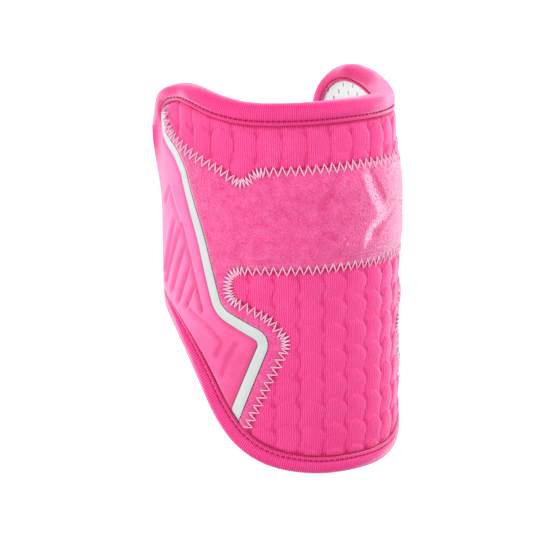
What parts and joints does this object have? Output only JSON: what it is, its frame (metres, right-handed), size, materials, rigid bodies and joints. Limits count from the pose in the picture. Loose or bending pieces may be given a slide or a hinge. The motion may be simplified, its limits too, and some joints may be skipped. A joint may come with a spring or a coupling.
{
  "type": "batters elbow guard",
  "caption": "Padded sports elbow guard: a moulded half sleeve with knit panels, a loop-pile frame, ribbed wing pads, inlaid stripes, bound edges, mesh lining and an elastic strap behind.",
  "frame": {"origin": "centre of the bounding box on the surface that the two rear edges lie on", "axes": "+Y along the arm towards the top end, +Z out of the front face, +X to the right as seen from the front"},
  "size_m": [0.115, 0.1782, 0.0898],
  "materials": {
    "knit": "pink knit, quilted in small staggered puffs",
    "loop": "pink brushed loop pile, lightly embossed",
    "pad": "pink brushed fabric over moulded foam, with raised ribs",
    "stripe": "white satin piping",
    "lining": "white knitted spacer mesh with small slots",
    "binding": "pink rolled fabric binding, topstitched",
    "strap": "pink ribbed elastic"
  },
  "bodies": {
    "root": {"upper_knit_panel": "knit", "lower_knit_panel": "knit", "loop_frame": "loop", "left_wing_pad": "pad", "right_wing_pad": "pad", "left_stripe": "stripe", "right_stripe": "stripe", "mesh_lining": "lining", "edge_binding": "binding", "closure_strap": "strap"}
  },
  "joints": []
}
